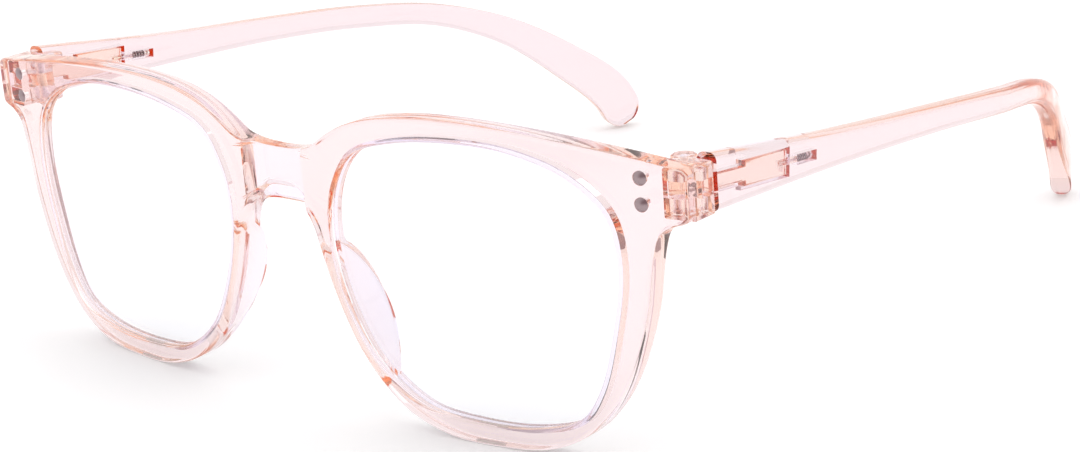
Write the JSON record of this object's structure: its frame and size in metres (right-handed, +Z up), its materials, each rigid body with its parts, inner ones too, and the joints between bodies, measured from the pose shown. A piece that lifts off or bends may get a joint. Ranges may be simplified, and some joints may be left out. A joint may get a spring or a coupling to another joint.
{
  "type": "blue light glasses",
  "caption": "Square clear plastic glasses with plain lenses, keyhole bridge, moulded nose pads, riveted fronts and sprung folding temples.",
  "frame": {"origin": "centre of the footprint of the open glasses, at the height of the surface they stand on", "axes": "+X is the wearer's left, -Y is out of the front of the lenses, +Z is up to the brow edge; the open temples run to +Y"},
  "size_m": [0.145, 0.1471, 0.0488],
  "materials": {
    "frame_plastic": "polished clear pale pink",
    "lens": "clear, polished",
    "steel": "dull grey"
  },
  "bodies": {
    "front": {"front_frame": "frame_plastic", "lens_left": "lens", "lens_right": "lens", "rivet_left_upper": "steel", "rivet_left_lower": "steel", "rivet_right_upper": "steel", "rivet_right_lower": "steel"},
    "left_pin": {"hinge_screw_left": "steel"},
    "left_tongue": {"hinge_tongue_left": "frame_plastic", "tongue_screw_left": "steel"},
    "left_temple": {"temple_left": "frame_plastic", "coil_spring_left": "steel"},
    "right_pin": {"hinge_screw_right": "steel"},
    "right_tongue": {"hinge_tongue_right": "frame_plastic", "tongue_screw_right": "steel"},
    "right_temple": {"temple_right": "frame_plastic", "coil_spring_right": "steel"}
  },
  "joints": [
    {"name": "left_fold", "type": "hinge", "parent": "front", "child": "left_pin", "pos_m": [0.0669, -0.0588, 0.04115], "axis": [0, 0, 1], "range_deg": [0, 84]},
    {"name": "left_flex", "type": "hinge", "parent": "left_pin", "child": "left_tongue", "pos_m": [0.0669, -0.0588, 0.04115], "axis": [0, 0, -1], "range_deg": [0, 6], "stiffness_Nm_per_rad": 0.13, "springref_deg": -2.86},
    {"name": "left_spring_slide", "type": "slide", "parent": "left_tongue", "child": "left_temple", "axis": [0, 0.9945, -0.1045], "range_m": [0, 0.0007], "deforming": ["coil_spring_left"]},
    {"name": "right_fold", "type": "hinge", "parent": "front", "child": "right_pin", "pos_m": [-0.0669, -0.0588, 0.04115], "axis": [0, 0, -1], "range_deg": [0, 70]},
    {"name": "right_flex", "type": "hinge", "parent": "right_pin", "child": "right_tongue", "pos_m": [-0.0669, -0.0588, 0.04115], "axis": [0, 0, 1], "range_deg": [0, 6], "stiffness_Nm_per_rad": 0.13, "springref_deg": -2.86},
    {"name": "right_spring_slide", "type": "slide", "parent": "right_tongue", "child": "right_temple", "axis": [0, 0.9945, -0.1045], "range_m": [0, 0.0007], "deforming": ["coil_spring_right"]}
  ],
  "couplings": [
    {"joint": "left_spring_slide", "follows": "left_flex", "m_per_rad": 0.006},
    {"joint": "right_spring_slide", "follows": "right_flex", "m_per_rad": 0.006}
  ]
}
